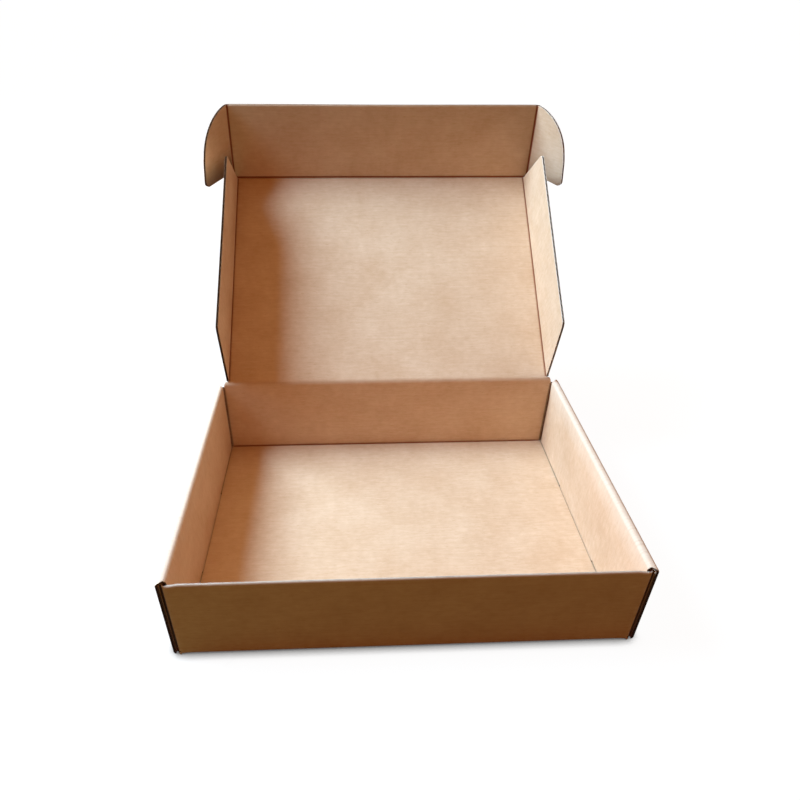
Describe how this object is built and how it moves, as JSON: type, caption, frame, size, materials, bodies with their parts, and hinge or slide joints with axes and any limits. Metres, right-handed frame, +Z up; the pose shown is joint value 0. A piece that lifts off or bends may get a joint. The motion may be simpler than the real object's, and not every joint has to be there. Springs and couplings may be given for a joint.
{
  "type": "corrugated mailer box",
  "caption": "Open corrugated mailer box: shallow tray with roll-over side walls and a hinged lid that has a tuck flap, two rounded ears and two dust flaps",
  "frame": {"origin": "middle of the tray's underside, on the surface it stands on", "axes": "+Z up, +Y from the front wall towards the lid hinge, +X to the right seen from the front"},
  "size_m": [0.3833, 0.4414, 0.312],
  "materials": {
    "kraft_board": "plain uncoated brown kraft liner, matt, with faint flute lines and dark open flutes on the cut edges"
  },
  "bodies": {
    "tray": {"tray": "kraft_board"},
    "lid": {"lid": "kraft_board"},
    "tuck_flap": {"tuck_flap": "kraft_board"},
    "left_ear": {"left_ear": "kraft_board"},
    "right_ear": {"right_ear": "kraft_board"},
    "left_dust_flap": {"left_dust_flap": "kraft_board"},
    "right_dust_flap": {"right_dust_flap": "kraft_board"}
  },
  "joints": [
    {"name": "lid_hinge", "type": "hinge", "parent": "tray", "child": "lid", "pos_m": [0, 0.1238, 0.0814], "axis": [-1, 0, 0], "range_deg": [-141.5, 56.5]},
    {"name": "tuck_hinge", "type": "hinge", "parent": "lid", "child": "tuck_flap", "pos_m": [0, 0.31523, 0.23367], "axis": [-1, 0, 0], "range_deg": [-40.1, 16.1]},
    {"name": "left_ear_hinge", "type": "hinge", "parent": "tuck_flap", "child": "left_ear", "pos_m": [-0.16435, 0.3062, 0.27438], "axis": [-0.0436, 0.2162, -0.9754], "range_deg": [-27.1, 10.9]},
    {"name": "right_ear_hinge", "type": "hinge", "parent": "tuck_flap", "child": "right_ear", "pos_m": [0.16435, 0.3062, 0.27438], "axis": [-0.0436, -0.2162, 0.9754], "range_deg": [-33.1, 13.3]},
    {"name": "left_dust_flap_hinge", "type": "hinge", "parent": "lid", "child": "left_dust_flap", "pos_m": [-0.16177, 0.21901, 0.15816], "axis": [0, 0.7826, 0.6225], "range_deg": [0, 68]},
    {"name": "right_dust_flap_hinge", "type": "hinge", "parent": "lid", "child": "right_dust_flap", "pos_m": [0.16177, 0.21901, 0.15816], "axis": [0, -0.7826, -0.6225], "range_deg": [0, 68]}
  ],
  "couplings": [
    {"joint": "tuck_hinge", "follows": "lid_hinge", "ratio": 0.28269},
    {"joint": "left_ear_hinge", "follows": "lid_hinge", "ratio": 0.19081},
    {"joint": "right_ear_hinge", "follows": "lid_hinge", "ratio": 0.23322}
  ]
}
